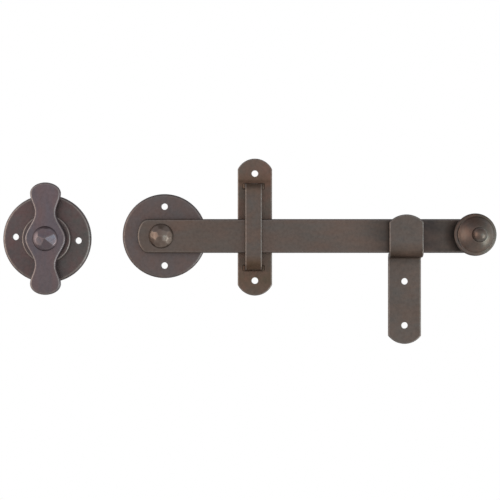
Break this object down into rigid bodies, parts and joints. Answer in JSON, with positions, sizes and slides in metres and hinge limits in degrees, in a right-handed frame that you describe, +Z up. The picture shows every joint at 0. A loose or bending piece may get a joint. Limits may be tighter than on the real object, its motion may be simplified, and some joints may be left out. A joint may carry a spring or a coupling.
{
  "type": "toggle bolt latch",
  "caption": "Drop-bar door latch: a pivoted bar with a knob, its guide and catch, and a bow-tie toggle that turns the bar from the far side of the door.",
  "frame": {"origin": "where the latch bar's pivot axis meets the door face, which is the centre of the bar rose's screw circle", "axes": "+X along the latch bar from its pivot to its knob, +Y into the door, +Z up the door"},
  "size_m": [0.3694, 0.086, 0.1401],
  "materials": {
    "patina_bronze": "forged bronze under a dark brown oil-rubbed patina, satin",
    "bush_bronze": "turned bearing bronze",
    "steel": "turned and milled, lightly oiled"
  },
  "bodies": {
    "mounted": {"bar_rose": "patina_bronze", "bar_bush": "bush_bronze", "guide_plate": "patina_bronze", "guide_strap": "patina_bronze", "catch_hook": "patina_bronze", "toggle_rose": "patina_bronze", "toggle_collar": "patina_bronze", "toggle_bush": "bush_bronze"},
    "bar": {"bar_hub": "steel", "bar_thrust_washer": "bush_bronze", "bar_back_washer": "steel", "bar_retaining_ring": "steel", "latch_bar": "patina_bronze", "pivot_dome": "patina_bronze", "bar_knob": "patina_bronze", "knob_screw": "steel"},
    "toggle": {"toggle_hub": "steel", "toggle_thrust_washer": "bush_bronze", "toggle_back_washer": "steel", "toggle_retaining_ring": "steel", "toggle_handle": "patina_bronze", "toggle_dome": "patina_bronze", "toggle_spindle": "steel", "toggle_spindle_pin": "steel"}
  },
  "joints": [
    {"name": "bar_lift", "type": "hinge", "parent": "mounted", "child": "bar", "pos_m": [0, 0, 0], "axis": [0, -1, 0], "range_deg": [0, 16.8]},
    {"name": "toggle_turn", "type": "hinge", "parent": "mounted", "child": "toggle", "pos_m": [-0.0887, 0, -0.002], "axis": [0, -1, 0], "range_deg": [-16.8, 0]}
  ],
  "couplings": [
    {"joint": "toggle_turn", "follows": "bar_lift", "ratio": -1}
  ]
}
